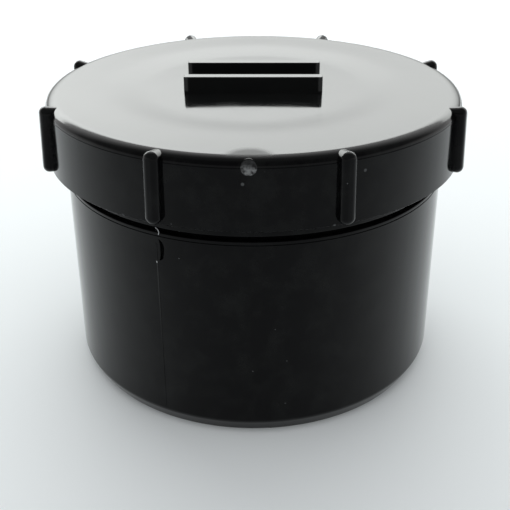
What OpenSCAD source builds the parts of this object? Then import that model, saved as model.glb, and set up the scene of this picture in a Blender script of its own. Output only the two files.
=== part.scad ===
// Screwed access cap for a 110 mm soil pipe. The plain spigot stands on z = 0, the axis is Z,
// and the front of the lid, where its gate scar is, faces -Y.

/* [Spigot] */
// Outer diameter of the spigot, the nominal pipe size
spigot_od = 110; // [90:1:130]
// Wall of the spigot
spigot_wall = 3.2; // [2.6:0.1:4.5]
// Height of the shoulder, where the plain spigot ends
shoulder_z = 59; // [40:1:90]
// Height of the lead-in taper at the lower end
taper_h = 4; // [1:0.5:8]
// How far the lead-in taper goes in, on the radius
taper_in = 2.2; // [0.5:0.1:2.3]
// Small rounding on the shoulder's edge
shoulder_round = 0.3; // [0.1:0.1:0.8]
// Distance of the mould's witness line below the shoulder
witness_drop = 0.8; // [0.6:0.1:3]
// Height of the witness line
witness_h = 0.35; // [0.2:0.05:0.6]
// Depth of the witness line
witness_in = 0.2; // [0.1:0.05:0.5]

/* [Neck] */
// Height of the relief groove above the shoulder
relief_h = 1.4; // [0.8:0.1:3]
// Depth of the relief groove below the spigot's surface
relief_in = 1.9; // [0.8:0.1:1.9]
// Height of the plain collar above the relief groove
collar_h = 1.8; // [1:0.1:4]
// Height of the neck from the collar to its rim
neck_h = 15.6; // [12:0.2:30]
// How far the neck's surface between the threads lies inside the spigot's surface
neck_in = 0.5; // [0.3:0.1:0.8]
// Chamfer inside and outside the neck's rim
neck_chamfer = 0.5; // [0.2:0.1:1]

/* [Thread] */
// Pitch of the thread, which is also the lid's rise for each turn
pitch = 5; // [4.6:0.1:7]
// Height of the ridges, on the radius
ridge_h = 1.8; // [1:0.1:2]
// Width of a ridge at its crest
crest_w = 1; // [0.6:0.1:1.2]
// Slope of a ridge's flanks, from the plane of the thread
flank_angle = 25; // [15:1:28]
// Angle over which a ridge rises to its full height at each end
runout = 40; // [20:5:80]
// Radial clearance between a crest and the wall that it faces
crest_gap = 0.6; // [0.5:0.05:1]

/* [Lid] */
// Clear gap between the collar and the lid's lower edge
edge_gap = 1.6; // [0.8:0.1:4]
// Thickness of the skirt at its lower edge
skirt_wall = 2.6; // [1.8:0.1:4]
// Draft of the skirt: how much smaller its radius is at the top
skirt_draft = 0.6; // [0.2:0.1:1]
// Thickness of the top plate
plate_t = 2.6; // [2:0.1:5]
// Rounding of the rim between the skirt and the top
rim_round = 2.2; // [1:0.1:4]
// How far the rim stands proud of the skirt, on the radius
rim_proud = 0.12; // [0.05:0.01:0.4]
// Width of the flat band between the rim and the dished middle
band_w = 14; // [6:1:24]
// Width of the soft step from the band down into the dish
dish_step_w = 5; // [2:0.5:8]
// Depth of the dished middle
dish_depth = 0.5; // [0.1:0.05:0.8]
// Chamfer on the skirt's lower edge
edge_chamfer = 0.3; // [0.1:0.1:0.8]
// Wall of the ring under the lid that centres it in the bore
spigot_ring_wall = 1.6; // [1:0.1:3]
// Depth of that ring below the plate
spigot_ring_h = 4; // [3:0.5:8]
// Radial clearance of that ring in the bore
spigot_ring_gap = 0.5; // [0.35:0.05:1.5]

/* [Grip ribs] */
// Number of grip ribs round the skirt
rib_count = 8; // [6:1:12]
// Width of a rib
rib_w = 4.2; // [3:0.1:6]
// How far a rib stands out of the skirt
rib_out = 2.4; // [1.5:0.1:4]
// Rounding along a rib's outer edges
rib_round = 0.9; // [0.4:0.1:1.2]
// Height of a rib's top above the lid's top
rib_above = 0.1; // [0.05:0.05:0.6]
// Distance of a rib's lower end above the lid's lower edge
rib_above_edge = 0.9; // [0.3:0.1:3]
// How far a rib reaches in over the rim
rib_over_rim = 3.2; // [2.6:0.1:5]

/* [Key bars] */
// Length of the two upright bars
bar_l = 38.4; // [24:0.2:60]
// Thickness of a bar
bar_t = 3.1; // [2:0.1:5]
// Height of a bar above the dished middle
bar_h = 4.9; // [3:0.1:12]
// Slot between the bars, for a key
bar_slot = 11.4; // [8:0.1:20]
// Rounding of a bar's upright edges
bar_round = 0.8; // [0.3:0.1:1.2]

/* [Seal] */
// Thickness of the seal ring when the lid is screwed down
seal_t = 2; // [1:0.1:4]
// Width of the seal ring
seal_w = 2.8; // [2:0.1:3.2]
// Radial clearance between the seal ring and the ring that centres it
seal_gap = 0.4; // [0.3:0.05:0.8]

/* [Hidden] */
$fn = 96;
// Amount by which a cutter or an added form passes the surface it meets
pass = 0.5;
// Sides of the thread in one turn
thread_sides = 40;
// Steps in the soft edge of the dish
dish_steps = 6;

spigot_r = spigot_od / 2;
bore_r = spigot_r - spigot_wall;
relief_top = shoulder_z + relief_h;
collar_top = relief_top + collar_h;
neck_r = spigot_r - neck_in;
neck_top = collar_top + neck_h;

// The ridges: the neck's stand out from neck_r, the lid's stand in from skirt_bore_r
flank_w = ridge_h * tan(flank_angle);
skirt_bore_r = neck_r + ridge_h + crest_gap;
ridge_base = crest_w / 2 + flank_w;
neck_ridge_z = collar_top + ridge_base;
// Both ridges have the turns for which there is room on the neck
turns = (neck_h - 2 * ridge_base - pitch / 2) / pitch;

lid_z = collar_top + edge_gap;
plate_z = neck_top + seal_t;
lid_top = plate_z + plate_t;
skirt_r = skirt_bore_r + skirt_wall;
rim_r = skirt_r - skirt_draft + rim_proud;
rim_z = lid_top - rim_round;
dish_z = lid_top - dish_depth;
dish_outer_r = rim_r - rim_round - band_w;
dish_inner_r = dish_outer_r - dish_step_w;
spigot_ring_r = bore_r - spigot_ring_gap;
seal_r = spigot_ring_r + seal_gap;

// The lid's ridge runs half a pitch above the neck's, so each lies in the other's gap
lid_ridge_z = neck_ridge_z + pitch / 2;

rib_h = lid_top + rib_above - lid_z - rib_above_edge;
rib_lean = atan(skirt_draft / (rim_z - lid_z));
// Below the plate a rib's inner end stays halfway in the skirt's thinnest wall
rib_root_r = skirt_bore_r + (skirt_wall - skirt_draft) / 2;

// One cross-section of a ridge: four corners at turn t, high enough to taper in at both ends
function ridge_rise(t) = min(1, t * 360 / runout, (turns - t) * 360 / runout);
function ridge_corner(r, t, z) = [r * cos(360 * t), r * sin(360 * t), z];
function ridge_section(wall_r, side, t, z0) =
    let(rise = ridge_rise(t),
        z = z0 + pitch * t,
        root = wall_r - side * pass,
        crest = wall_r + side * (ridge_h * rise - pass / 2 * (1 - rise)),
        root_w = ridge_base + pass * tan(flank_angle),
        half_crest = crest_w / 2 + (1 - rise) * flank_w)
    [ridge_corner(root, t, z - root_w),
     ridge_corner(crest, t, z - half_crest),
     ridge_corner(crest, t, z + half_crest),
     ridge_corner(root, t, z + root_w)];

// A screw ridge on a round wall; side is 1 on an outer wall and -1 on an inner one
module ridge(wall_r, side, z0) {
    rings = ceil(turns * thread_sides);
    corners = [for (i = [0:rings]) each ridge_section(wall_r, side, i / rings * turns, z0)];
    sides = [for (i = [0:rings - 1], k = [0:3])
        [4 * i + k, 4 * i + (k + 1) % 4, 4 * i + 4 + (k + 1) % 4, 4 * i + 4 + k]];
    triangles = [for (f = sides) each [[f[0], f[1], f[2]], [f[0], f[2], f[3]]]];
    last = 4 * rings;
    caps = [[0, 3, 2], [0, 2, 1], [last, last + 1, last + 2], [last, last + 2, last + 3]];
    faces = concat(triangles, caps);
    polyhedron(points = corners,
               faces = side > 0 ? faces : [for (f = faces) [f[2], f[1], f[0]]],
               convexity = 8);
}

module body_profile() {
    difference() {
        union() {
            // Spigot with its tapered lower end
            polygon([[bore_r, 0],
                     [spigot_r - taper_in, 0],
                     [spigot_r, taper_h],
                     [spigot_r, shoulder_z - shoulder_round],
                     [spigot_r - shoulder_round, shoulder_z - shoulder_round],
                     [spigot_r - shoulder_round, shoulder_z],
                     [bore_r, shoulder_z]]);
            translate([spigot_r - shoulder_round, shoulder_z - shoulder_round])
                circle(r = shoulder_round);
            // Relief groove, collar and neck
            polygon([[bore_r, shoulder_z - pass],
                     [spigot_r - relief_in, shoulder_z - pass],
                     [spigot_r - relief_in, relief_top],
                     [spigot_r, relief_top],
                     [spigot_r, collar_top],
                     [neck_r, collar_top],
                     [neck_r, neck_top - neck_chamfer],
                     [neck_r - neck_chamfer, neck_top],
                     [bore_r + neck_chamfer, neck_top],
                     [bore_r, neck_top - neck_chamfer]]);
        }
        translate([spigot_r - witness_in, shoulder_z - witness_drop - witness_h])
            square([witness_in + pass, witness_h]);
    }
}

module body() {
    color([0.045, 0.045, 0.05]) {
        rotate_extrude() body_profile();
        ridge(neck_r, 1, neck_ridge_z);
    }
}

// Height of the top at the soft step, which starts and ends level
function dish_edge(s) = [dish_inner_r + s * dish_step_w, dish_z + dish_depth * (1 - cos(180 * s)) / 2];

module lid_profile() {
    difference() {
        polygon(concat([[0, plate_z], [0, dish_z]],
                       [for (i = [0:dish_steps]) dish_edge(i / dish_steps)],
                       [[rim_r, lid_top],
                        [rim_r, rim_z],
                        [rim_r - rim_proud, rim_z - rim_proud],
                        [skirt_r, lid_z + edge_chamfer],
                        [skirt_r - edge_chamfer, lid_z],
                        [skirt_bore_r + edge_chamfer, lid_z],
                        [skirt_bore_r, lid_z + edge_chamfer],
                        [skirt_bore_r, plate_z]]));
        // Rounded rim
        translate([rim_r - rim_round, rim_z]) difference() {
            square(rim_round + pass);
            circle(r = rim_round);
        }
    }
    // Ring that centres the lid and the seal in the bore
    translate([spigot_ring_r - spigot_ring_wall, plate_z - spigot_ring_h])
        square([spigot_ring_wall, spigot_ring_h + pass]);
}

// A rib along z from 0 to rib_h, its face at x = 0 and its body going back to x = -depth
module rib(depth) {
    end_r = rib_w / 2;
    for (z = [end_r, rib_h - end_r])
        translate([-depth, 0, z]) rotate([0, 90, 0]) rotate_extrude() {
            square([end_r - rib_round, depth]);
            square([end_r, depth - rib_round]);
            intersection() {
                translate([end_r - rib_round, depth - rib_round]) circle(r = rib_round);
                square([end_r, depth]);
            }
        }
    translate([0, 0, end_r]) linear_extrude(rib_h - rib_w) {
        translate([-depth, -end_r]) square([depth - rib_round, rib_w]);
        translate([-depth, rib_round - end_r]) square([depth, rib_w - 2 * rib_round]);
        for (side = [-1, 1])
            translate([-rib_round, side * (end_r - rib_round)]) circle(r = rib_round);
    }
}

// The ribs reach in over the rim at the top, and stop inside the skirt's wall below it
module ribs() {
    difference() {
        for (i = [0:rib_count - 1])
            rotate([0, 0, (i + 0.5) * 360 / rib_count - 90])
                translate([skirt_r + rib_out, 0, lid_z + rib_above_edge])
                    rotate([0, -rib_lean, 0])
                        rib(rib_out + rib_over_rim);
        translate([0, 0, lid_z])
            cylinder(r = rib_root_r, h = plate_z - lid_z);
    }
}

module bar() {
    linear_extrude(bar_h + pass) {
        for (x = [-1, 1], y = [-1, 1])
            translate([x * (bar_l / 2 - bar_round), y * (bar_t / 2 - bar_round)]) circle(r = bar_round);
        square([bar_l - 2 * bar_round, bar_t], center = true);
        square([bar_l, bar_t - 2 * bar_round], center = true);
    }
}

module screw_lid() {
    color([0.045, 0.045, 0.05]) {
        rotate_extrude() lid_profile();
        ridge(skirt_bore_r, -1, lid_ridge_z);
        ribs();
        for (side = [-1, 1])
            translate([0, side * (bar_slot + bar_t) / 2, dish_z - pass]) bar();
    }
}

module seal_ring() {
    color([0.12, 0.12, 0.13])
        rotate_extrude()
            translate([seal_r, neck_top]) square([seal_w, seal_t]);
}

body();
screw_lid();
seal_ring();
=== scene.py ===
import math

import bmesh
import bpy
from mathutils import Matrix, Vector


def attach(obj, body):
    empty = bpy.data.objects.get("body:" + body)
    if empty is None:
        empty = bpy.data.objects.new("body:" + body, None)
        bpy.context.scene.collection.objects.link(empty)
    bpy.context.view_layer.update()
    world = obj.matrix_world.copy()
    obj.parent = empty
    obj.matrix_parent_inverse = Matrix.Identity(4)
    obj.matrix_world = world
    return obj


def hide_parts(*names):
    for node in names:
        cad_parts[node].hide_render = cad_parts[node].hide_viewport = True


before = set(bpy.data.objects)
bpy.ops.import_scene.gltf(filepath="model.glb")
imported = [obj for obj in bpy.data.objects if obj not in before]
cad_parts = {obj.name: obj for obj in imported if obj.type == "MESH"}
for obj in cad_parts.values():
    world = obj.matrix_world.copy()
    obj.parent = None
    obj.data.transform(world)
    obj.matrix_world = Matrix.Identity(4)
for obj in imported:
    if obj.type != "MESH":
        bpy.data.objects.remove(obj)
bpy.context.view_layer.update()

# Spigot and neck. One black injection-moulded piece: a plain pipe end with a tapered lead-in,
# a relief groove and collar over its shoulder, and the neck that the lid screws onto.
# It is a moulding without a join, turned here from one ring, with its corners rounded after.
MM = 0.001
SIDES = 256
CLOSE = 0.02 * MM
WELD = CLOSE / 10

SPIGOT_R = 55.0 * MM
BORE_R = 51.8 * MM
TAPER_R = 52.8 * MM
TAPER_Z = 4.0 * MM
WITNESS_R = 54.8 * MM
WITNESS_LOW = 57.85 * MM
WITNESS_TOP = 58.2 * MM
SHOULDER_Z = 59.0 * MM
GROOVE_R = 53.1 * MM
COLLAR_LOW = 60.4 * MM
COLLAR_TOP = 62.2 * MM
NECK_R = 54.5 * MM
NECK_TOP = 77.8 * MM
NECK_CHAMFER = 0.5 * MM


def opened(name):
    """Names the primitive just added, applies its place and size, and opens it in edit mode."""
    bpy.ops.object.transform_apply(location=True, rotation=True, scale=True)
    bpy.context.object.name = name
    bpy.ops.object.mode_set(mode="EDIT")
    return bpy.context.object


def turned(name, outline):
    """Extrudes and scales a ring through an outline of (radius, height) corners."""
    (radius, height), *rest = outline
    bpy.ops.object.select_all(action="DESELECT")
    bpy.ops.mesh.primitive_circle_add(vertices=SIDES, radius=radius, location=(0, 0, height))
    piece = opened(name)
    bpy.ops.mesh.select_all(action="SELECT")
    for next_radius, next_height in rest:
        rise = (0, 0, next_height - height)
        scale = next_radius / radius
        bpy.ops.mesh.extrude_region_move(TRANSFORM_OT_translate={"value": rise})
        bpy.ops.transform.resize(value=(scale, scale, 1), center_override=(0, 0, next_height))
        radius, height = next_radius, next_height
    bpy.ops.mesh.select_all(action="SELECT")
    bpy.ops.mesh.remove_doubles(threshold=WELD)
    bpy.ops.mesh.normals_make_consistent(inside=False)
    return piece


def pick(kind, wanted):
    """Selects only the vertices, edges or faces that pass the test wanted, in edit mode."""
    bpy.ops.mesh.select_mode(type=kind)
    bpy.ops.mesh.select_all(action="DESELECT")
    mesh = bpy.context.edit_object.data
    shape = bmesh.from_edit_mesh(mesh)
    for part in {"VERT": shape.verts, "EDGE": shape.edges, "FACE": shape.faces}[kind]:
        if wanted(part):
            part.select_set(True)
    bmesh.update_edit_mesh(mesh)


def on_ring(edge, radius, height):
    """True for an edge that lies on the ring with that radius and height."""
    return all(abs(v.co.xy.length - radius) < CLOSE and abs(v.co.z - height) < CLOSE
               for v in edge.verts)


def round_ring(radius, height, width, steps):
    """Rounds the corner that runs round the piece at that radius and height."""
    pick("EDGE", lambda edge: on_ring(edge, radius, height))
    bpy.ops.mesh.bevel(offset=width, segments=steps, affect="EDGES", clamp_overlap=False)


def smooth(piece, degrees=35):
    """Leaves edit mode, shades smooth up to that angle and lets flat faces keep their light."""
    bpy.ops.object.mode_set(mode="OBJECT")
    bpy.ops.object.shade_smooth_by_angle(angle=math.radians(degrees))
    weigh = piece.modifiers.new("even shading", "WEIGHTED_NORMAL")
    weigh.keep_sharp = True
    bpy.ops.object.modifier_apply(modifier=weigh.name)


body = turned("spigot_body", [
    (BORE_R, 0),
    (TAPER_R, 0),
    (SPIGOT_R, TAPER_Z),
    (SPIGOT_R, WITNESS_LOW),
    (WITNESS_R, WITNESS_LOW),
    (WITNESS_R, WITNESS_TOP),
    (SPIGOT_R, WITNESS_TOP),
    (SPIGOT_R, SHOULDER_Z),
    (GROOVE_R, SHOULDER_Z),
    (GROOVE_R, COLLAR_LOW),
    (SPIGOT_R, COLLAR_LOW),
    (SPIGOT_R, COLLAR_TOP),
    (NECK_R, COLLAR_TOP),
    (NECK_R, NECK_TOP - NECK_CHAMFER),
    (NECK_R - NECK_CHAMFER, NECK_TOP),
    (BORE_R + NECK_CHAMFER, NECK_TOP),
    (BORE_R, NECK_TOP - NECK_CHAMFER),
    (BORE_R, 0),
])

# The corners that the mould leaves a little round: radius, height, width of the rounding, steps
for radius, height, width, steps in (
    (TAPER_R, 0, 0.25 * MM, 3),
    (SPIGOT_R, TAPER_Z, 0.6 * MM, 4),
    (SPIGOT_R, SHOULDER_Z, 0.3 * MM, 3),
    (SPIGOT_R, COLLAR_LOW, 0.2 * MM, 2),
    (SPIGOT_R, COLLAR_TOP, 0.2 * MM, 2),
):
    round_ring(radius, height, width, steps)
smooth(body)

# The mould's two halves close along two upright lines, opposite each other. A little flash stands
# proud on the wall there, and a thin web of it crosses the groove.
PARTING_AZIMUTH = -25.6
PARTING_W = 0.6 * MM
PARTING_PROUD = 0.08 * MM
PARTING_LOW = TAPER_Z + 0.8 * MM
PARTING_TOP = WITNESS_LOW - 2 * MM
WEB_W = 0.45 * MM
WEB_OUT = SPIGOT_R - 0.35 * MM
WEB_OVERLAP = 0.2 * MM
ROOTED = 0.3 * MM
FLASH_CREST = 0.6
FLASH_ENDS = 0.4


def turn_about_axis(piece, degrees):
    """Turns a piece about the cap's axis and applies the turn."""
    piece.rotation_euler.z = math.radians(degrees)
    bpy.ops.object.select_all(action="DESELECT")
    piece.select_set(True)
    bpy.context.view_layer.objects.active = piece
    bpy.ops.object.transform_apply(rotation=True)


def join(main, *others):
    """Makes the others part of the main piece."""
    bpy.ops.object.select_all(action="DESELECT")
    for piece in (main, *others):
        piece.select_set(True)
    bpy.context.view_layer.objects.active = main
    bpy.ops.object.join()


def strip_of_flash(name, low_r, high_r, width, low_z, high_z):
    """A block on the wall at azimuth 0 whose outer face is narrower and a little shorter."""
    middle_r, middle_z = (low_r + high_r) / 2, (low_z + high_z) / 2
    depth, length = high_r - low_r, high_z - low_z
    bpy.ops.object.select_all(action="DESELECT")
    bpy.ops.mesh.primitive_cube_add(size=1, location=(0, -middle_r, middle_z),
                                    scale=(width, depth, length))
    strip = opened(name)
    pick("VERT", lambda v: v.co.y < -middle_r)
    bpy.ops.transform.resize(value=(FLASH_CREST, 1, 1 - FLASH_ENDS * depth / length),
                             center_override=(0, -high_r, middle_z))
    bpy.ops.object.mode_set(mode="OBJECT")
    return strip


for half in range(2):
    seam = strip_of_flash("parting_line", SPIGOT_R - ROOTED, SPIGOT_R + PARTING_PROUD, PARTING_W,
                          PARTING_LOW, PARTING_TOP)
    web = strip_of_flash("flash_web", GROOVE_R - ROOTED, WEB_OUT, WEB_W,
                         SHOULDER_Z - WEB_OVERLAP, COLLAR_LOW + WEB_OVERLAP)
    for piece in (seam, web):
        turn_about_axis(piece, PARTING_AZIMUTH + 180 * half)
    join(body, seam, web)

# A sickle-shaped nick beside the front parting line, cut with a crescent: a disc whose left half
# is folded over to hollow its right half's edge, then narrowed
NICK_AZIMUTH = -25.0
NICK_Z = 54.1 * MM
NICK_R = 3.0 * MM
NICK_DEPTH = 0.9 * MM
NICK_SIDES = 40
NICK_HOLLOW = 0.3
NICK_NARROW = 0.6
CUTTER_CLEAR = 1 * MM

bpy.ops.object.select_all(action="DESELECT")
bpy.ops.mesh.primitive_circle_add(
    vertices=NICK_SIDES, radius=NICK_R, fill_type="NGON",
    location=(0, -SPIGOT_R - CUTTER_CLEAR, NICK_Z), rotation=(math.radians(90), 0, 0))
nick = opened("nick_cutter")
pick("VERT", lambda v: v.co.x < CLOSE)
bpy.ops.transform.resize(value=(-NICK_HOLLOW, 1, 1), center_override=(0, -SPIGOT_R, NICK_Z))
bpy.ops.mesh.select_all(action="SELECT")
bpy.ops.transform.resize(value=(NICK_NARROW, 1, 1), center_override=(0, -SPIGOT_R, NICK_Z))
bpy.ops.mesh.extrude_region_move(
    TRANSFORM_OT_translate={"value": (0, NICK_DEPTH + CUTTER_CLEAR, 0)})
bpy.ops.mesh.select_all(action="SELECT")
bpy.ops.mesh.normals_make_consistent(inside=False)
bpy.ops.object.mode_set(mode="OBJECT")
turn_about_axis(nick, NICK_AZIMUTH)
bpy.context.view_layer.objects.active = body
cut = body.modifiers.new("nick", "BOOLEAN")
cut.operation = "DIFFERENCE"
cut.object = nick
bpy.ops.object.modifier_apply(modifier=cut.name)
bpy.data.objects.remove(nick)

# A curl of flash over the groove: an open bit of a thin ring, cut off on its left and below
CURL_R = 1.25 * MM
CURL_THICK = 0.16 * MM
CURL_X = -0.7 * MM
CURL_OUT = SPIGOT_R + 0.05 * MM
CURL_Z = SHOULDER_Z + 0.1 * MM
CURL_LEFT = -0.3 * MM
CURL_FOOT = SHOULDER_Z - 0.4 * MM
CURL_AZIMUTH = PARTING_AZIMUTH + 0.5

bpy.ops.object.select_all(action="DESELECT")
bpy.ops.mesh.primitive_torus_add(
    major_segments=24, minor_segments=8, major_radius=CURL_R, minor_radius=CURL_THICK,
    location=(CURL_X, -CURL_OUT, CURL_Z), rotation=(math.radians(90), 0, 0))
curl = opened("flash_curl")
pick("FACE", lambda face: face.calc_center_median().x < CURL_LEFT
     or face.calc_center_median().z < CURL_FOOT)
bpy.ops.mesh.delete(type="FACE")
pick("EDGE", lambda edge: edge.is_boundary)
bpy.ops.mesh.edge_face_add()
bpy.ops.object.mode_set(mode="OBJECT")
bpy.ops.object.shade_smooth()
turn_about_axis(curl, CURL_AZIMUTH)

# A nub at the foot of the nick: a small ball whose lower half is drawn aside and down
NUB_R = 0.24 * MM
NUB_Z = NICK_Z - 1.15 * NICK_R
NUB_ASIDE = 0.1 * MM
NUB_DOWN = 0.15 * MM
NUB_AZIMUTH = PARTING_AZIMUTH - 0.1

bpy.ops.object.select_all(action="DESELECT")
bpy.ops.mesh.primitive_uv_sphere_add(segments=12, ring_count=8, radius=NUB_R,
                                     location=(0, -SPIGOT_R, NUB_Z))
nub = opened("flash_nub")
pick("VERT", lambda v: v.co.z < NUB_Z)
bpy.ops.transform.translate(value=(NUB_ASIDE, 0, -NUB_DOWN))
bpy.ops.object.mode_set(mode="OBJECT")
bpy.ops.object.shade_smooth()
turn_about_axis(nub, NUB_AZIMUTH)
join(body, curl, nub)

# Moulded black polypropylene. To the eye it is deep black and glossy, with mirrors that waver a
# little and are dimmer than clean plastic's. Specks of dust lie on it. The parting lines' crests
# are painted a paler grey as a painted highlight, and the curl and nub of flash are painted
# whitish, partly the whitening of bent flash and partly a painted highlight.
PLASTIC_IOR = 1.5
PLASTIC_MIRROR = "#747474"
DEEP_BLACK = "#040405"
HAZED_BLACK = "#0f1010"
SEAM_HIGHLIGHT_GREY = "#252626"
# Painted highlight on the parting lines' crests, drawn as a paler grey
SEAM_HIGHLIGHT_FROM, SEAM_HIGHLIGHT_FULL = SPIGOT_R + 0.04 * MM, SPIGOT_R + 0.07 * MM
SEAM_HIGHLIGHT_LOW, SEAM_HIGHLIGHT_HIGH = 22 * MM, 45 * MM
# Whitish grey of the curl and nub: partly stress-whitened flash, partly a painted highlight
FLASH_WHITE_AND_HIGHLIGHT_GREY = "#a4a6a7"
WHITE_FROM, WHITE_FULL = SPIGOT_R + 0.13 * MM, SPIGOT_R + 0.19 * MM
WHITE_CURL_R, WHITE_NUB_R, WHITE_SOFT = 1.8 * MM, 0.9 * MM, 0.2 * MM
WHITE_CURL_Z = SHOULDER_Z + 0.55 * MM
DUST_GREY = "#434546"
DUST_R = 0.17 * MM
DUST_SHARE = 0.15
DUST_MATTE = 0.4
BODY_DUST_CELL = 3 * MM

# Polish of the mould in patches, sink of the wall as it cooled, fine orange peel and hand haze
POLISH_SIZE = 14 * MM
SINK_SIZE = 9 * MM
SINK_DEPTH = 0.05 * MM
PEEL_SIZE = 1.3 * MM
PEEL_DEPTH = 0.012 * MM
HAZE_SIZE = 7 * MM


def linear(code):
    """The linear colour of an sRGB hex value."""
    parts = [int(code[i:i + 2], 16) / 255 for i in (1, 3, 5)]
    return [c / 12.92 if c <= 0.04045 else ((c + 0.055) / 1.055) ** 2.4 for c in parts] + [1]


def add(tree, kind, inputs, **settings):
    """Adds a node; an input takes a value or another node's output."""
    made = tree.nodes.new(kind)
    for name, value in settings.items():
        setattr(made, name, value)
    for name, value in inputs.items():
        if isinstance(value, bpy.types.NodeSocket):
            tree.links.new(value, made.inputs[name])
        else:
            made.inputs[name].default_value = value
    return made


def new_material(name):
    """An empty material with its output node."""
    material = bpy.data.materials.new(name)
    material.use_nodes = True
    tree = material.node_tree
    tree.nodes.clear()
    return material, tree, tree.nodes.new("ShaderNodeOutputMaterial")


def near_point(tree, place, point, radius, soft):
    """1 within that radius of a point of the object, falling to 0 over the soft width."""
    gap = add(tree, "ShaderNodeVectorMath", {0: place, 1: point}, operation="DISTANCE")
    return add(tree, "ShaderNodeMapRange", {
        "Value": gap.outputs["Value"],
        "From Min": radius + soft, "From Max": radius}).outputs["Result"]


def dust(tree, place, cell):
    """1 on sparse round specks: one in each kept share of the cells."""
    cells = add(tree, "ShaderNodeTexVoronoi", {"Vector": place, "Scale": 1 / cell})
    shape = add(tree, "ShaderNodeMath", {0: cells.outputs["Distance"], 1: DUST_R / cell},
                operation="LESS_THAN")
    pickup = add(tree, "ShaderNodeSeparateColor", {"Color": cells.outputs["Color"]})
    some = add(tree, "ShaderNodeMath", {0: pickup.outputs["Red"], 1: DUST_SHARE},
               operation="LESS_THAN")
    return add(tree, "ShaderNodeMath", {0: shape.outputs[0], 1: some.outputs[0]},
               operation="MULTIPLY").outputs[0]


def plastic_skin(tree, place):
    """Gloss and fine unevenness of moulded polypropylene: (roughness, normal)."""
    cloud = add(tree, "ShaderNodeTexNoise", {
        "Vector": place, "Scale": 1 / POLISH_SIZE, "Detail": 4.0})
    gloss = add(tree, "ShaderNodeMapRange", {
        "Value": cloud.outputs["Fac"],
        "From Min": 0.35, "From Max": 0.7, "To Min": 0.075, "To Max": 0.14})
    sink = add(tree, "ShaderNodeTexNoise", {
        "Vector": place, "Scale": 1 / SINK_SIZE, "Detail": 2.0})
    wave = add(tree, "ShaderNodeBump", {
        "Height": sink.outputs["Fac"], "Strength": 0.5, "Distance": SINK_DEPTH})
    peel = add(tree, "ShaderNodeTexNoise", {
        "Vector": place, "Scale": 1 / PEEL_SIZE, "Detail": 2.0})
    bump = add(tree, "ShaderNodeBump", {
        "Height": peel.outputs["Fac"], "Strength": 0.2, "Distance": PEEL_DEPTH,
        "Normal": wave.outputs["Normal"]})
    return gloss.outputs["Result"], bump.outputs["Normal"]


def handled_black(tree, place):
    """The plastic's black, a little greyer where fingers and rubbing have left a haze."""
    haze = add(tree, "ShaderNodeTexNoise", {
        "Vector": place, "Scale": 1 / HAZE_SIZE, "Detail": 6.0, "Roughness": 0.65})
    worn = add(tree, "ShaderNodeMapRange", {
        "Value": haze.outputs["Fac"], "From Min": 0.45, "From Max": 0.7})
    return add(tree, "ShaderNodeMixRGB", {
        "Fac": worn.outputs["Result"],
        "Color1": linear(DEEP_BLACK), "Color2": linear(HAZED_BLACK)}).outputs["Color"]


black, tree, out = new_material("moulded_black_polypropylene")
place = add(tree, "ShaderNodeTexCoord", {}).outputs["Object"]
gloss, normal = plastic_skin(tree, place)
split = add(tree, "ShaderNodeSeparateXYZ", {"Vector": place})
flat = add(tree, "ShaderNodeCombineXYZ", {"X": split.outputs["X"], "Y": split.outputs["Y"]})
reach = add(tree, "ShaderNodeVectorMath", {0: flat.outputs["Vector"]}, operation="LENGTH")

# Whitish flash, partly stress-whitening and partly a painted highlight: what stands proud of the
# wall, round the curl and the nub only
proud = add(tree, "ShaderNodeMapRange", {
    "Value": reach.outputs["Value"], "From Min": WHITE_FROM, "From Max": WHITE_FULL})
angle = math.radians(PARTING_AZIMUTH)
x, y = SPIGOT_R * math.sin(angle), -SPIGOT_R * math.cos(angle)
curled = near_point(tree, place, (x, y, WHITE_CURL_Z), WHITE_CURL_R, WHITE_SOFT)
nubbed = near_point(tree, place, (x, y, NUB_Z), WHITE_NUB_R, WHITE_SOFT)
flashed = add(tree, "ShaderNodeMath", {0: curled, 1: nubbed}, operation="MAXIMUM")
whitened_and_highlight = add(tree, "ShaderNodeMath", {0: proud.outputs["Result"], 1: flashed.outputs[0]},
               operation="MULTIPLY")

# Painted highlight on the parting lines' crests: a paler grey that fades out towards the foot and
# stops at the nick
crest = add(tree, "ShaderNodeMapRange", {
    "Value": reach.outputs["Value"], "From Min": SEAM_HIGHLIGHT_FROM, "From Max": SEAM_HIGHLIGHT_FULL})
upper = add(tree, "ShaderNodeMapRange", {
    "Value": split.outputs["Z"], "From Min": SEAM_HIGHLIGHT_LOW, "From Max": SEAM_HIGHLIGHT_HIGH})
below = add(tree, "ShaderNodeMath", {0: split.outputs["Z"], 1: NICK_Z - NICK_R},
            operation="LESS_THAN")
seam_highlight = add(tree, "ShaderNodeMath", {0: crest.outputs["Result"], 1: upper.outputs["Result"]},
              operation="MULTIPLY")
seam_highlight = add(tree, "ShaderNodeMath", {0: seam_highlight.outputs[0], 1: below.outputs[0]},
              operation="MULTIPLY")

specks = dust(tree, place, BODY_DUST_CELL)
colour = handled_black(tree, place)
for share, grey in ((seam_highlight.outputs[0], SEAM_HIGHLIGHT_GREY), (whitened_and_highlight.outputs[0], FLASH_WHITE_AND_HIGHLIGHT_GREY),
                    (specks, DUST_GREY)):
    colour = add(tree, "ShaderNodeMixRGB", {
        "Fac": share, "Color1": colour, "Color2": linear(grey)}).outputs["Color"]
matte = add(tree, "ShaderNodeMapRange", {"Value": specks, "To Min": 0.0, "To Max": DUST_MATTE})
rough = add(tree, "ShaderNodeMath", {0: gloss, 1: matte.outputs["Result"]}, operation="ADD")
shader = add(tree, "ShaderNodeBsdfPrincipled", {
    "Base Color": colour, "Roughness": rough.outputs[0], "IOR": PLASTIC_IOR,
    "Specular Tint": linear(PLASTIC_MIRROR), "Normal": normal})
tree.links.new(shader.outputs["BSDF"], out.inputs["Surface"])
body.data.materials.clear()
body.data.materials.append(black)
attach(body, "body")
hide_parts("body")

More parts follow.
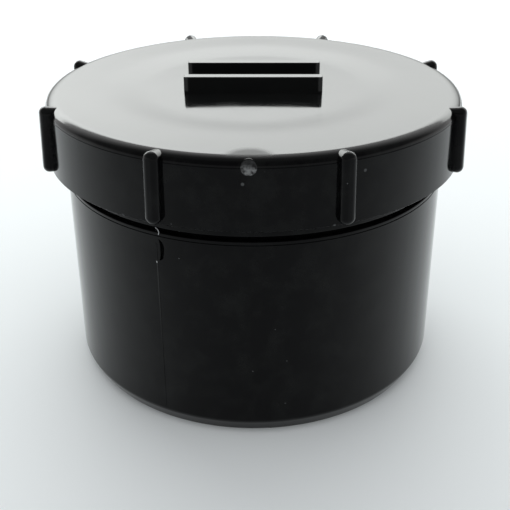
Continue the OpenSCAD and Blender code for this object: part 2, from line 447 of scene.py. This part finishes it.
# Screw thread. A ridge of trapezoid section winds round the neck, and its twin winds inside the
# lid in the other's gap. Both are part of their mouldings and run out into the wall at their
# ends. The neck's ridge takes the body's plastic before it is joined.
PITCH = 5.0 * MM
RIDGE_H = 1.8 * MM
CREST_W = 1.0 * MM
CREST_NEAR = 0.6 * CREST_W
ROOT_W = 2.68 * MM
TURNS = 2.084
THREAD_STEPS = 64
RUNOUT_STEPS = 7
SKIRT_BORE_R = 56.9 * MM
NECK_RIDGE_Z = COLLAR_TOP + ROOT_W / 2
LID_RIDGE_Z = NECK_RIDGE_Z + PITCH / 2
SUNK = 0.4 * MM


def ridge(name, wall, side, height):
    """Sweeps one section along the screw; side is 1 on an outer wall and -1 on an inner one."""
    bpy.ops.object.select_all(action="DESELECT")
    bpy.ops.mesh.primitive_plane_add(size=1, location=(wall, 0, height),
                                     rotation=(math.radians(90), 0, 0))
    piece = opened(name)
    pick("VERT", lambda v: True)
    bpy.ops.transform.resize(value=(RIDGE_H + SUNK, 1, ROOT_W), center_override=(wall, 0, height))
    bpy.ops.transform.translate(value=(side * (RIDGE_H - SUNK) / 2, 0, 0))
    pick("VERT", lambda v: side * (v.co.x - wall) > 0)
    bpy.ops.transform.resize(value=(1, 1, CREST_W / ROOT_W), center_override=(wall, 0, height))
    bpy.ops.mesh.select_all(action="SELECT")
    bpy.ops.mesh.delete(type="ONLY_FACE")
    bpy.ops.object.mode_set(mode="OBJECT")
    steps = round(THREAD_STEPS * TURNS)
    screw = piece.modifiers.new("wind", "SCREW")
    screw.angle = math.radians(360 * TURNS)
    screw.screw_offset = PITCH * TURNS
    screw.steps = screw.render_steps = steps
    screw.use_smooth_shade = False
    bpy.ops.object.modifier_apply(modifier=screw.name)
    bpy.ops.object.mode_set(mode="EDIT")
    bpy.ops.mesh.select_all(action="SELECT")
    bpy.ops.mesh.remove_doubles(threshold=WELD)
    crest = wall + side * RIDGE_H
    step = 360 * TURNS / steps
    for i in range(RUNOUT_STEPS):
        rise = i / RUNOUT_STEPS
        target = wall + side * (RIDGE_H * rise - SUNK / 2 * (1 - rise))
        for wound in (i * step, 360 * TURNS - i * step):
            turn = math.radians(wound)
            z = height + PITCH * wound / 360
            tip = Vector((crest * math.cos(turn), crest * math.sin(turn), z))
            pick("VERT", lambda v: (v.co - tip).length < CREST_NEAR)
            bpy.ops.transform.resize(value=(target / crest, target / crest, 1),
                                     center_override=(0, 0, z))
    pick("EDGE", lambda edge: edge.is_boundary)
    bpy.ops.mesh.edge_face_add()
    bpy.ops.mesh.select_all(action="SELECT")
    bpy.ops.mesh.normals_make_consistent(inside=False)
    smooth(piece, degrees=25)
    return piece


neck_ridge = ridge("neck_ridge", NECK_R, 1, NECK_RIDGE_Z)
neck_ridge.data.materials.append(black)
join(body, neck_ridge)

# Lid. One black moulding: a dished top plate with a rounded rim, a skirt that flares a little
# towards its lower edge, and under it the ring that centres the lid and its seal in the bore.
LID_Z = 63.8 * MM
LID_TOP = 82.4 * MM
SKIRT_R = 59.5 * MM
RIM_R = 59.02 * MM
RIM_TOP = 82.28 * MM
RIM_SOFT = 3.4 * MM
RIM_ROUND = 2.2 * MM
RIM_LEDGE = 0.15 * MM
PLATE_Z = 79.8 * MM
MIDDLE_R = 0.5 * MM
MIDDLE_Z = 82.3 * MM
DISH_Z = 81.9 * MM
DISH_R = 30.5 * MM
BAND_R = 43.52 * MM
RING_R = 51.3 * MM
RING_BORE_R = 49.7 * MM
RING_Z = 75.8 * MM
EDGE_CHAMFER = 0.3 * MM
DISH_STEPS = 12
BAND_STEPS = 6
RIM_STEPS = 14


def soft_step(share, start, end):
    """Radius and height on a soft step between two (radius, height) places."""
    rise = (1 - math.cos(math.pi * share)) / 2
    return (start[0] + share * (end[0] - start[0]), start[1] + rise * (end[1] - start[1]))


def crowned(share):
    """Radius and height on the dish's middle, which is crowned a little under the bars."""
    return (share * DISH_R, MIDDLE_Z - (MIDDLE_Z - DISH_Z) * share ** 2)


def rim_curve(share):
    """Radius and height on the rim's rounding, which is longer across the top than down."""
    turn = math.pi / 2 * share
    return (RIM_R - RIM_SOFT * (1 - math.sin(turn)), RIM_TOP - RIM_ROUND * (1 - math.cos(turn)))


lid = turned("screw_lid_moulding", [
    (MIDDLE_R, MIDDLE_Z),
    *[crowned(i / DISH_STEPS) for i in range(1, DISH_STEPS)],
    *[soft_step(i / DISH_STEPS, (DISH_R, DISH_Z), (BAND_R, LID_TOP)) for i in range(DISH_STEPS)],
    *[soft_step(i / BAND_STEPS, (BAND_R, LID_TOP), (RIM_R - RIM_SOFT, RIM_TOP))
      for i in range(BAND_STEPS)],
    *[rim_curve(i / RIM_STEPS) for i in range(RIM_STEPS + 1)],
    (RIM_R + RIM_LEDGE, RIM_TOP - RIM_ROUND - RIM_LEDGE),
    (SKIRT_R, LID_Z + EDGE_CHAMFER),
    (SKIRT_R - EDGE_CHAMFER, LID_Z),
    (SKIRT_BORE_R + EDGE_CHAMFER, LID_Z),
    (SKIRT_BORE_R, LID_Z + EDGE_CHAMFER),
    (SKIRT_BORE_R, PLATE_Z),
    (RING_R, PLATE_Z),
    (RING_R, RING_Z),
    (RING_BORE_R, RING_Z),
    (RING_BORE_R, PLATE_Z),
    (MIDDLE_R, PLATE_Z),
])
pick("EDGE", lambda edge: edge.is_boundary)
bpy.ops.mesh.edge_face_add()
bpy.ops.mesh.select_all(action="SELECT")
bpy.ops.mesh.normals_make_consistent(inside=False)
smooth(lid)

lid_ridge = ridge("lid_ridge", SKIRT_BORE_R, -1, LID_RIDGE_Z)

# Grip ribs. Upright round-ended ribs on the skirt that a hand or a strap wrench bears on.
# They are moulded in one with the lid, lean with its draft and run over its rim.
RIB_COUNT = 8
RIB_W = 4.2 * MM
RIB_OUT = 2.6 * MM
RIB_IN = 2.0 * MM
RIB_REACH = 1.2 * MM
RIB_FLAT = 1.6 * MM
RIB_ROUND = 1.7 * MM
RIB_LOW = LID_Z + 0.5 * MM
RIB_TOP = LID_TOP + 0.45 * MM
RIB_LEAN = 2.09
RIB_END_STEPS = 24
ROOT_SINKS = 0.79
TONGUE_SINKS = 0.89

face_r = SKIRT_R + RIB_OUT
root_r = face_r - RIB_OUT - RIB_IN
arch_z = RIB_TOP - RIB_W / 2
bpy.ops.object.select_all(action="DESELECT")
bpy.ops.mesh.primitive_circle_add(
    vertices=2 * RIB_END_STEPS, radius=RIB_W / 2, fill_type="NGON",
    location=(face_r, 0, RIB_LOW + RIB_W / 2), rotation=(0, math.radians(90), 0))
rib = opened("grip_rib")
pick("VERT", lambda v: v.co.z > RIB_LOW + RIB_W / 2 - CLOSE)
bpy.ops.transform.translate(value=(0, 0, RIB_TOP - RIB_LOW - RIB_W))
bpy.ops.mesh.select_all(action="SELECT")
for length in (RIB_FLAT, RIB_OUT + RIB_IN - RIB_FLAT):
    bpy.ops.mesh.extrude_region_move(TRANSFORM_OT_translate={"value": (-length, 0, 0)})

# The end's arch sinks towards the root, and a tongue of it runs on inside the plate only
pick("VERT", lambda v: v.co.x < root_r + CLOSE and v.co.z > arch_z + CLOSE)
bpy.ops.transform.resize(value=(1, 1, ROOT_SINKS), center_override=(face_r, 0, arch_z))
pick("VERT", lambda v: v.co.x < root_r + CLOSE and abs(v.co.z - arch_z) < CLOSE)
bpy.ops.mesh.vert_connect()
pick("FACE", lambda face: face.calc_center_median().z > arch_z
     and all(v.co.x < root_r + CLOSE for v in face.verts))
bpy.ops.mesh.extrude_region_move(TRANSFORM_OT_translate={"value": (-RIB_REACH, 0, 0)})
bpy.ops.transform.resize(value=(1, 1, TONGUE_SINKS), center_override=(face_r, 0, arch_z))
bpy.ops.mesh.select_all(action="SELECT")
bpy.ops.mesh.normals_make_consistent(inside=False)
pick("EDGE", lambda edge: all(abs(v.co.x - face_r) < CLOSE for v in edge.verts))
bpy.ops.mesh.bevel(offset=RIB_ROUND, segments=8, affect="EDGES")
bpy.ops.mesh.select_all(action="SELECT")
bpy.ops.transform.rotate(value=math.radians(RIB_LEAN), orient_axis="Y",
                         center_override=(face_r, 0, RIB_LOW))
smooth(rib, degrees=40)

ribs = []
for i in range(RIB_COUNT):
    copy = rib.copy()
    copy.data = rib.data.copy()
    bpy.context.collection.objects.link(copy)
    copy.rotation_euler.z = math.radians((i + 0.5) * 360 / RIB_COUNT - 90)
    ribs.append(copy)
bpy.data.objects.remove(rib)
bpy.ops.object.select_all(action="DESELECT")
for copy in ribs:
    copy.select_set(True)
bpy.context.view_layer.objects.active = ribs[0]
bpy.ops.object.transform_apply(rotation=True)

# Key bars. Two upright bars on the dished middle, with a slot between them for a flat lever
# that breaks the seal. They are moulded in one with the lid, with softly rounded corners.
BAR_L = 38.9 * MM
BAR_T = 3.1 * MM
BAR_LOW = DISH_Z - 0.4 * MM
BAR_TOP = 86.7 * MM
BAR_SLOT = 11.6 * MM
BAR_CORNER = 0.8 * MM
BAR_EDGE = 0.25 * MM

bars = []
for side in (-1, 1):
    bpy.ops.object.select_all(action="DESELECT")
    bpy.ops.mesh.primitive_cube_add(
        size=1, location=(0, side * (BAR_SLOT + BAR_T) / 2, (BAR_TOP + BAR_LOW) / 2),
        scale=(BAR_L, BAR_T, BAR_TOP - BAR_LOW))
    bar = opened("key_bar")
    pick("EDGE", lambda edge: abs(edge.verts[0].co.z - edge.verts[1].co.z) > CLOSE)
    bpy.ops.mesh.bevel(offset=BAR_CORNER, segments=4, affect="EDGES")
    pick("EDGE", lambda edge: all(abs(v.co.z - BAR_TOP) < CLOSE for v in edge.verts))
    bpy.ops.mesh.bevel(offset=BAR_EDGE, segments=3, affect="EDGES")
    smooth(bar, degrees=40)
    bars.append(bar)
join(lid, lid_ridge, *ribs, *bars)

# Gate scar. The sprue was broken off the rim's corner at the front, which left a rough grey disc
# with a low rim. It is a short pin here, tilted with the corner and set into it.
SCAR_R = 1.86 * MM
SCAR_X = -0.15 * MM
SCAR_OUT = 58.75 * MM
SCAR_Z = 80.2 * MM
SCAR_TILT = 14
SCAR_IN = 0.9 * MM
SCAR_PIN = 1.15 * MM
SCAR_LIP = 0.3 * MM
SCAR_HOLLOW = 0.08 * MM

tilt = math.radians(SCAR_TILT)
outwards = (0, -SCAR_PIN * math.cos(tilt), SCAR_PIN * math.sin(tilt))
bpy.ops.object.select_all(action="DESELECT")
bpy.ops.mesh.primitive_circle_add(
    vertices=28, radius=SCAR_R, fill_type="NGON",
    location=(SCAR_X, -SCAR_OUT + SCAR_IN, SCAR_Z), rotation=(math.radians(90) - tilt, 0, 0))
scar = opened("gate_scar")
bpy.ops.mesh.select_all(action="SELECT")
bpy.ops.mesh.extrude_region_move(TRANSFORM_OT_translate={"value": outwards})
bpy.ops.mesh.inset(thickness=SCAR_LIP, depth=-SCAR_HOLLOW)
bpy.ops.mesh.select_all(action="SELECT")
bpy.ops.mesh.normals_make_consistent(inside=False)
smooth(scar, degrees=30)
join(lid, scar)

# The lid's moulded black polypropylene. It looks as the spigot's does, with a dull blush inside
# the gate and the scar's torn grey. The bars' ends are painted a paler grey as a painted
# highlight, and everything above the dish's floor is mixed a little greyer.
TORN_SIZE = 0.9 * MM
TORN_DEPTH = 0.2 * MM
TORN_DARK = "#1c1c1d"
TORN_GREY = "#737576"
TORN_MATTE = 0.5
TORN_OUT = SCAR_OUT + 0.3 * MM
TORN_R, TORN_SOFT = SCAR_R - 0.05 * MM, 0.15 * MM
TORN_LOW, TORN_HIGH = SCAR_Z - 0.1 * MM, SCAR_Z + 0.7 * MM
TORN_UPPER_SHARE = 0.12
BLUSH_OUT = 58 * MM
BLUSH_R, BLUSH_SOFT = 4.6 * MM, 2.6 * MM
BLUSH_LOW, BLUSH_HIGH = RIM_TOP - 0.5 * MM, RIM_TOP - 0.1 * MM
BLUSH_MATTE = 0.3
# Painted highlight on the bars' upright end edges, drawn as a paler grey
BAR_HIGHLIGHT_GREY = "#383939"
BAR_HIGHLIGHT_FROM, BAR_HIGHLIGHT_FULL = BAR_L / 2 - 1.4 * MM, BAR_L / 2 - 1.0 * MM
BAR_HIGHLIGHT_LOW, BAR_HIGHLIGHT_HIGH = RIM_TOP + 0.2 * MM, RIM_TOP + 0.5 * MM
# Everything above the dish's floor is mixed a little greyer
TOP_GREY = "#141515"
TOP_GREY_SHARE = 0.7
TOP_GREY_LOW, TOP_GREY_HIGH = DISH_Z - 0.6 * MM, DISH_Z - 0.2 * MM
LID_DUST_CELL = 3.2 * MM
CHIP_R = 0.3 * MM
CHIP_SOFT = 0.2 * MM
CHIPS = ((20.2, -56.0, 64.0), (-31.4, -50.5, 64.0), (27.3, -52.7, 77.0), (-1.6, -59.3, 76.2))

glossy, tree, out = new_material("moulded_black_polypropylene_lid")
place = add(tree, "ShaderNodeTexCoord", {}).outputs["Object"]
gloss, normal = plastic_skin(tree, place)
split = add(tree, "ShaderNodeSeparateXYZ", {"Vector": place})

# The scar's grey comes in torn patches and is darker over its upper half
scarred = near_point(tree, place, (SCAR_X, -TORN_OUT, SCAR_Z), TORN_R, TORN_SOFT)
torn = add(tree, "ShaderNodeTexNoise", {"Vector": place, "Scale": 1 / TORN_SIZE, "Detail": 3.0})
patchy = add(tree, "ShaderNodeMapRange", {
    "Value": torn.outputs["Fac"], "From Min": 0.35, "From Max": 0.65})
lower = add(tree, "ShaderNodeMapRange", {
    "Value": split.outputs["Z"], "From Min": TORN_HIGH, "From Max": TORN_LOW,
    "To Min": TORN_UPPER_SHARE, "To Max": 1.0})
patchy = add(tree, "ShaderNodeMath", {0: patchy.outputs["Result"], 1: lower.outputs["Result"]},
             operation="MULTIPLY")
scar_grey = add(tree, "ShaderNodeMixRGB", {
    "Fac": patchy.outputs[0], "Color1": linear(TORN_DARK), "Color2": linear(TORN_GREY)})

# The blush lies on the rim's top behind the scar
level = add(tree, "ShaderNodeMapRange", {
    "Value": split.outputs["Z"], "From Min": BLUSH_LOW, "From Max": BLUSH_HIGH})
near = near_point(tree, place, (0, -BLUSH_OUT, LID_TOP), BLUSH_R, BLUSH_SOFT)
blush = add(tree, "ShaderNodeMath", {0: near, 1: level.outputs["Result"]}, operation="MULTIPLY")

# A painted highlight on the bars' ends above the plate, drawn as a paler grey
endwise = add(tree, "ShaderNodeMath", {0: split.outputs["X"]}, operation="ABSOLUTE")
corner = add(tree, "ShaderNodeMapRange", {
    "Value": endwise.outputs[0], "From Min": BAR_HIGHLIGHT_FROM, "From Max": BAR_HIGHLIGHT_FULL})
raised = add(tree, "ShaderNodeMapRange", {
    "Value": split.outputs["Z"], "From Min": BAR_HIGHLIGHT_LOW, "From Max": BAR_HIGHLIGHT_HIGH})
bar_end_highlight = add(tree, "ShaderNodeMath", {0: corner.outputs["Result"], 1: raised.outputs["Result"]},
             operation="MULTIPLY")

# Dust lies over all of it, with four small chips that look like specks, and everything above
# the dish's floor is mixed a little greyer
specks = dust(tree, place, LID_DUST_CELL)
for chip in CHIPS:
    chipped = near_point(tree, place, [size * MM for size in chip], CHIP_R, CHIP_SOFT)
    specks = add(tree, "ShaderNodeMath", {0: specks, 1: chipped}, operation="MAXIMUM").outputs[0]
greyer_above = add(tree, "ShaderNodeMapRange", {
    "Value": split.outputs["Z"],
    "From Min": TOP_GREY_LOW, "From Max": TOP_GREY_HIGH, "To Min": 0.0, "To Max": TOP_GREY_SHARE})

colour = handled_black(tree, place)
for share, grey in (
    (greyer_above.outputs["Result"], linear(TOP_GREY)),
    (bar_end_highlight.outputs[0], linear(BAR_HIGHLIGHT_GREY)),
    (scarred, scar_grey.outputs["Color"]),
    (specks, linear(DUST_GREY)),
):
    colour = add(tree, "ShaderNodeMixRGB", {
        "Fac": share, "Color1": colour, "Color2": grey}).outputs["Color"]
rough = gloss
for share, matte in ((blush.outputs[0], BLUSH_MATTE), (scarred, TORN_MATTE)):
    more = add(tree, "ShaderNodeMapRange", {"Value": share, "To Min": 0.0, "To Max": matte})
    rough = add(tree, "ShaderNodeMath", {0: rough, 1: more.outputs["Result"]},
                operation="ADD").outputs[0]
ragged = add(tree, "ShaderNodeMath", {0: torn.outputs["Fac"], 1: scarred}, operation="MULTIPLY")
bump = add(tree, "ShaderNodeBump", {
    "Height": ragged.outputs[0], "Strength": 0.8, "Distance": TORN_DEPTH, "Normal": normal})
shader = add(tree, "ShaderNodeBsdfPrincipled", {
    "Base Color": colour, "Roughness": rough, "IOR": PLASTIC_IOR,
    "Specular Tint": linear(PLASTIC_MIRROR), "Normal": bump.outputs["Normal"]})
tree.links.new(shader.outputs["BSDF"], out.inputs["Surface"])
lid.data.materials.clear()
lid.data.materials.append(glossy)
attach(lid, "lid")
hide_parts("screw_lid")

# Seal. A flat ring of black rubber, cut or moulded with soft edges, that lies loose on the
# neck's rim and is pressed there by the lid. It doesn't turn with the lid as that is screwed.
SEAL_IN = 51.7 * MM
SEAL_OUT = 54.5 * MM
SEAL_ROUND = 0.3 * MM
seal = turned("seal_gasket", [
    (SEAL_IN, NECK_TOP),
    (SEAL_OUT, NECK_TOP),
    (SEAL_OUT, PLATE_Z),
    (SEAL_IN, PLATE_Z),
    (SEAL_IN, NECK_TOP),
])
for radius in (SEAL_IN, SEAL_OUT):
    for height in (NECK_TOP, PLATE_Z):
        round_ring(radius, height, SEAL_ROUND, 3)
smooth(seal)

# Vulcanised black rubber. To the eye it is a soft dark grey without mirrors, finely grained. The
# real grain is too fine to show, so it is drawn as coarse as this.
GRAIN_SIZE = 0.8 * MM
GRAIN_DEPTH = 0.03 * MM
RUBBER_DARK = "#161617"
RUBBER_PALE = "#202021"

rubber, tree, out = new_material("vulcanised_black_rubber")
place = add(tree, "ShaderNodeTexCoord", {}).outputs["Object"]
grain = add(tree, "ShaderNodeTexNoise", {"Vector": place, "Scale": 1 / GRAIN_SIZE, "Detail": 4.0})
shade = add(tree, "ShaderNodeMixRGB", {
    "Fac": grain.outputs["Fac"], "Color1": linear(RUBBER_DARK), "Color2": linear(RUBBER_PALE)})
bump = add(tree, "ShaderNodeBump", {
    "Height": grain.outputs["Fac"], "Strength": 0.4, "Distance": GRAIN_DEPTH})
shader = add(tree, "ShaderNodeBsdfPrincipled", {
    "Base Color": shade.outputs["Color"], "Roughness": 0.7, "IOR": 1.5,
    "Normal": bump.outputs["Normal"]})
tree.links.new(shader.outputs["BSDF"], out.inputs["Surface"])
seal.data.materials.append(rubber)
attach(seal, "lift")
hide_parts("seal_ring")

# Floor. A wide sheet of pale matte paper lies under the cap and takes its shadow. It gives the
# eye a plain, even white, and away from the cap it fades to pure white, as the photograph's
# ground does, for the camera and in mirrors only.
FLOOR_SIZE = 8
FLOOR_GAP = 0.02 * MM
FADE_FROM = 0.55
FADE_TO = 1.05
PAPER_WHITE = "#edf2f4"

bpy.ops.object.select_all(action="DESELECT")
bpy.ops.mesh.primitive_plane_add(size=FLOOR_SIZE, location=(0, 0, -FLOOR_GAP))
floor = bpy.context.object
floor.name = "studio_floor"
paper, tree, out = new_material("pale_matte_paper")
place = add(tree, "ShaderNodeTexCoord", {}).outputs["Object"]
away = add(tree, "ShaderNodeVectorMath", {0: place}, operation="LENGTH")
far = add(tree, "ShaderNodeMapRange", {
    "Value": away.outputs["Value"], "From Min": FADE_FROM, "From Max": FADE_TO})
path = add(tree, "ShaderNodeLightPath", {})
seen = path.outputs["Is Camera Ray"]
for ray in ("Is Glossy Ray", "Is Transmission Ray"):
    seen = add(tree, "ShaderNodeMath", {0: seen, 1: path.outputs[ray]},
               operation="MAXIMUM").outputs[0]
fade = add(tree, "ShaderNodeMath", {0: far.outputs["Result"], 1: seen}, operation="MULTIPLY")
shader = add(tree, "ShaderNodeBsdfPrincipled", {
    "Base Color": linear(PAPER_WHITE), "Roughness": 0.6})
white = add(tree, "ShaderNodeEmission", {"Color": (1, 1, 1, 1), "Strength": 1.0})
mix = add(tree, "ShaderNodeMixShader", {
    0: fade.outputs[0], 1: shader.outputs["BSDF"], 2: white.outputs["Emission"]})
tree.links.new(mix.outputs[0], out.inputs["Surface"])
floor.data.materials.append(paper)

# Light panel. A lit cloth stands behind the cap, out of the camera's sight, and the lid's top
# mirrors it. It is brighter above than below, and brighter on the left.
PANEL_PLACE = (0, 1.1, 0.42)
PANEL_SIZE = (2.6, 0.8, 1)
PANEL_WHITE = "#fcfffd"
PANEL_LOW, PANEL_HIGH = 0.54, 5.5
PANEL_LEFT, PANEL_RIGHT = 1.28, 0.72

bpy.ops.mesh.primitive_plane_add(size=1, location=PANEL_PLACE, rotation=(math.radians(90), 0, 0))
panel = bpy.context.object
panel.name = "back_light_panel"
panel.scale = PANEL_SIZE
lit_cloth, tree, out = new_material("back_light")
place = add(tree, "ShaderNodeTexCoord", {}).outputs["Object"]
split = add(tree, "ShaderNodeSeparateXYZ", {"Vector": place})
level = add(tree, "ShaderNodeMapRange", {
    "Value": split.outputs["Y"], "From Min": -0.35, "From Max": 0.3,
    "To Min": PANEL_LOW, "To Max": PANEL_HIGH})
lean = add(tree, "ShaderNodeMapRange", {
    "Value": split.outputs["X"], "From Min": -0.5, "From Max": 0.5,
    "To Min": PANEL_LEFT, "To Max": PANEL_RIGHT})
strength = add(tree, "ShaderNodeMath", {0: level.outputs["Result"], 1: lean.outputs["Result"]},
               operation="MULTIPLY")
light = add(tree, "ShaderNodeEmission", {
    "Color": linear(PANEL_WHITE), "Strength": strength.outputs[0]})
tree.links.new(light.outputs["Emission"], out.inputs["Surface"])
panel.data.materials.append(lit_cloth)
panel.visible_camera = False

# Light tent. White cloth all round gives an even light. Mirrors see it dimmer above and brighter
# at the back, which is what shapes the black plastic, and the camera sees it plain white.
TENT_LIGHT = 0.8
TENT_SIDE, TENT_ROOF = 1.0, 0.25
TENT_FRONT, TENT_BACK = 0.1, 1.6

world = bpy.data.worlds.new("light_tent")
bpy.context.scene.world = world
world.use_nodes = True
tree = world.node_tree
tree.nodes.clear()
out = tree.nodes.new("ShaderNodeOutputWorld")
path = add(tree, "ShaderNodeLightPath", {})
way = add(tree, "ShaderNodeTexCoord", {}).outputs["Generated"]
split = add(tree, "ShaderNodeSeparateXYZ", {"Vector": way})
side = add(tree, "ShaderNodeMapRange", {
    "Value": split.outputs["Z"], "From Min": 0.1, "From Max": 0.4,
    "To Min": TENT_SIDE, "To Max": TENT_ROOF})
back = add(tree, "ShaderNodeMapRange", {
    "Value": split.outputs["Y"], "From Min": 0.2, "From Max": 0.7,
    "To Min": TENT_FRONT, "To Max": TENT_BACK})
glow = add(tree, "ShaderNodeMath", {0: side.outputs["Result"], 1: back.outputs["Result"]},
           operation="MAXIMUM")
soft, mirrored, white = [
    add(tree, "ShaderNodeBackground", {"Color": (1, 1, 1, 1), "Strength": strength})
    for strength in (TENT_LIGHT, glow.outputs[0], 1.0)]
lighting = add(tree, "ShaderNodeMixShader", {
    0: path.outputs["Is Glossy Ray"], 1: soft.outputs[0], 2: mirrored.outputs[0]})
seen = add(tree, "ShaderNodeMath", {
    0: path.outputs["Is Camera Ray"], 1: path.outputs["Is Transmission Ray"]},
    operation="MAXIMUM")
mix = add(tree, "ShaderNodeMixShader", {
    0: seen.outputs[0], 1: lighting.outputs[0], 2: white.outputs[0]})
tree.links.new(mix.outputs[0], out.inputs["Surface"])
bpy.context.scene.view_settings.view_transform = "Standard"

# Camera. It stands where the photograph was taken from, in front of the cap and above it, as a
# fit to the cap's outline gave it. Lengths in pixels are of the photograph's square picture.
CAMERA_OUT = 237.79 * MM
CAMERA_Z = 154.29 * MM
ORBIT = math.radians(1.05)
PITCH_DOWN = 0.4484
ROLL = -0.0051
YAW = 0.00086
PHOTO_PX = 510
FOCAL_PX = 847.2
SHIFT_PX = -40
SENSOR = 36

lens = bpy.data.cameras.new("photo_camera")
lens.sensor_width = SENSOR
lens.lens = FOCAL_PX / PHOTO_PX * SENSOR
lens.shift_y = SHIFT_PX / PHOTO_PX
lens.clip_start = 0.01
lens.clip_end = 20
camera = bpy.data.objects.new("photo_camera", lens)
bpy.context.collection.objects.link(camera)
camera.location = (CAMERA_OUT * math.sin(ORBIT), -CAMERA_OUT * math.cos(ORBIT), CAMERA_Z)
camera.rotation_euler = (Matrix.Rotation(ORBIT - YAW, 3, "Z")
                         @ Matrix.Rotation(math.pi / 2 - PITCH_DOWN, 3, "X")
                         @ Matrix.Rotation(ROLL, 3, "Z")).to_euler()
bpy.context.scene.camera = camera
